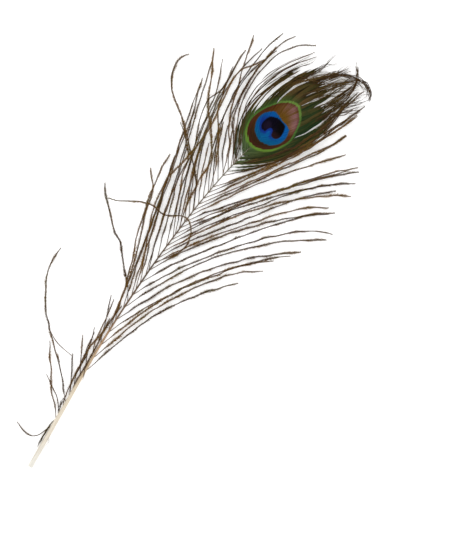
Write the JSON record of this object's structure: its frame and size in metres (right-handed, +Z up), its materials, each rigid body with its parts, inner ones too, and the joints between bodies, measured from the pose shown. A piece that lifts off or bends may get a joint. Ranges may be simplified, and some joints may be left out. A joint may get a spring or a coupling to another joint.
{
  "type": "peacock feather",
  "caption": "Peacock tail feather lying face up: pale curved shaft, loose bronze barbs, blue eye in a green ring, fringed crown.",
  "frame": {"origin": "on the surface the feather lies on, under the middle of its bounding box", "axes": "+Y along the feather from the cut end to the crown, +X to the right of the shaft seen from the front, +Z up from the surface, out of the iridescent front"},
  "size_m": [0.133, 0.3032, 0.0082],
  "materials": {
    "horn_shaft": "satin",
    "herl": "matte",
    "eye_vane": "satin",
    "crown_barbs": "matte"
  },
  "bodies": {
    "root": {"crown_lock_1": "crown_barbs", "crown_lock_2": "crown_barbs", "crown_lock_3": "crown_barbs", "crown_lock_4": "crown_barbs", "crown_lock_5": "crown_barbs", "crown_lock_6": "crown_barbs", "crown_lock_7": "crown_barbs", "crown_lock_8": "crown_barbs", "crown_lock_9": "crown_barbs", "eye": "eye_vane", "left_barb_01": "herl", "left_barb_02": "herl", "left_barb_03": "herl", "left_barb_04": "herl", "left_barb_05": "herl", "left_barb_06": "herl", "left_barb_07": "herl", "left_barb_08": "herl", "left_barb_09": "herl", "left_barb_10": "herl", "left_barb_11": "herl", "left_barb_12": "herl", "left_barb_13": "herl", "left_barb_14": "herl", "loose_barb_base_hook": "herl", "loose_barb_base_long": "herl", "loose_barb_base_short": "herl", "loose_barb_elbow": "herl", "loose_barb_fork": "herl", "loose_barb_long_hook": "herl", "loose_barb_loop": "herl", "loose_barb_low_curl": "herl", "loose_barb_outer_high": "herl", "loose_barb_outer_low": "herl", "loose_barb_sweep": "herl", "loose_barb_wavy": "herl", "right_barb_01": "herl", "right_barb_02": "herl", "right_barb_03": "herl", "right_barb_04": "herl", "right_barb_05": "herl", "right_barb_06": "herl", "right_barb_07": "herl", "right_barb_08": "herl", "right_barb_09": "herl", "right_barb_10": "herl", "right_barb_11": "herl", "right_barb_12": "herl", "right_barb_13": "herl", "right_barb_14": "herl", "right_barb_15": "herl", "right_barb_16": "herl", "right_barb_17": "herl", "right_barb_18": "herl", "shaft": "horn_shaft", "short_barb_1": "herl", "short_barb_2": "herl", "short_barb_3": "herl", "short_barb_4": "herl"}
  },
  "joints": []
}
